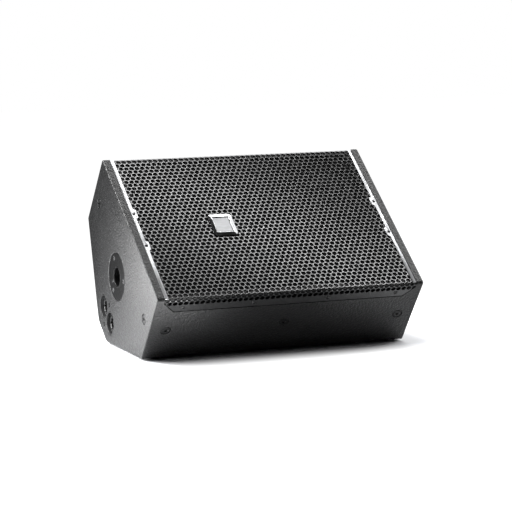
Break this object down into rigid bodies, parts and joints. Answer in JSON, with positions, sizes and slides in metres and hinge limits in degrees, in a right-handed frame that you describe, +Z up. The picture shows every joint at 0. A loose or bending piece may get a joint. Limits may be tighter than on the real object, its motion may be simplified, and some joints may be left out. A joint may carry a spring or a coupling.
{
  "type": "stage monitor wedge",
  "caption": "Compact two-way stage monitor wedge with a sloping perforated grille, pole socket, speaker sockets and M10 suspension points.",
  "frame": {"origin": "centre of the bounding box, at floor level under the rubber feet", "axes": "+X along the cabinet away from the connector end, +Y from the grille side to the rear, +Z up; the grille faces -Y and up"},
  "size_m": [0.556, 0.4108, 0.3682],
  "materials": {
    "cabinet_paint": "black textured paint on plywood",
    "bare_ply": "bare sanded plywood",
    "grille_steel": "semi-gloss black powder coat",
    "black_steel": "black satin",
    "zinc_steel": "zinc plated",
    "badge_trim": "bright",
    "rail_metal": "bright rolled strip",
    "badge_face": "brushed",
    "black_plastic": "fine moulded grain",
    "rubber": "matt",
    "foam": "open-cell acoustic foam",
    "ferrite": "sintered",
    "cone_paper": "coated pulp",
    "copper": "enamelled winding wire",
    "circuit_board": "solder mask",
    "wadding": "polyester wadding"
  },
  "bodies": {
    "cabinet": {"end_panel_left": "cabinet_paint", "end_panel_right": "cabinet_paint", "lower_side_panel": "cabinet_paint", "upper_side_panel": "cabinet_paint", "floor_panel": "cabinet_paint", "back_panel": "cabinet_paint", "rear_panel": "cabinet_paint", "baffle_board": "bare_ply", "grille_batten_left": "bare_ply", "grille_batten_right": "bare_ply", "grille": "grille_steel", "grille_foam": "foam", "grille_rail_left": "rail_metal", "grille_rail_right": "rail_metal", "rail_screw_1": "black_steel", "rail_screw_2": "black_steel", "rail_screw_3": "black_steel", "rail_screw_4": "black_steel", "pole_socket": "black_steel", "pole_socket_screw_1": "zinc_steel", "pole_socket_screw_2": "zinc_steel", "pole_socket_screw_3": "zinc_steel", "input_dish": "black_plastic", "input_dish_screw_1": "black_steel", "input_dish_screw_2": "black_steel", "speaker_socket_1": "black_plastic", "speaker_socket_2": "black_plastic", "m10_screw_left_1": "black_steel", "m10_screw_left_2": "black_steel", "m10_screw_front_1": "black_steel", "m10_screw_front_2": "black_steel", "m10_screw_front_3": "black_steel", "handle_cup": "black_plastic", "handle_bar": "rubber", "woofer_basket": "black_steel", "woofer_surround": "rubber", "woofer_spider": "cone_paper", "woofer_top_plate": "zinc_steel", "woofer_magnet": "ferrite", "woofer_yoke": "zinc_steel", "horn": "black_plastic", "compression_driver": "black_steel", "driver_rear_cap": "black_plastic", "port_tube_1": "black_plastic", "port_tube_2": "black_plastic", "damping_pad": "wadding", "crossover_board": "circuit_board", "crossover_inductor": "copper", "crossover_capacitor": "black_plastic", "rubber_foot_1": "rubber", "rubber_foot_2": "rubber", "rubber_foot_3": "rubber", "rubber_foot_4": "rubber"},
    "badge": {"badge_bezel": "badge_trim", "badge_plate": "badge_face", "badge_nut": "zinc_steel"},
    "woofer_cone_assembly": {"woofer_cone": "cone_paper", "woofer_dust_cap": "cone_paper", "woofer_voice_coil": "copper"},
    "diaphragm": {"driver_diaphragm": "badge_face"}
  },
  "joints": [
    {"name": "badge_turn", "type": "hinge", "parent": "cabinet", "child": "badge", "pos_m": [-0.086, -0.0522, 0.24503], "axis": [0, -0.6018, 0.7986], "range_deg": [0, 90]},
    {"name": "cone_excursion", "type": "slide", "parent": "cabinet", "child": "woofer_cone_assembly", "axis": [0, -0.6018, 0.7986], "range_m": [-0.006, 0.006], "stiffness_N_per_m": 3000, "deforming": ["woofer_surround", "woofer_spider"]},
    {"name": "diaphragm_excursion", "type": "slide", "parent": "cabinet", "child": "diaphragm", "axis": [0, -0.6018, 0.7986], "range_m": [-0.0003, 0.0003]}
  ]
}
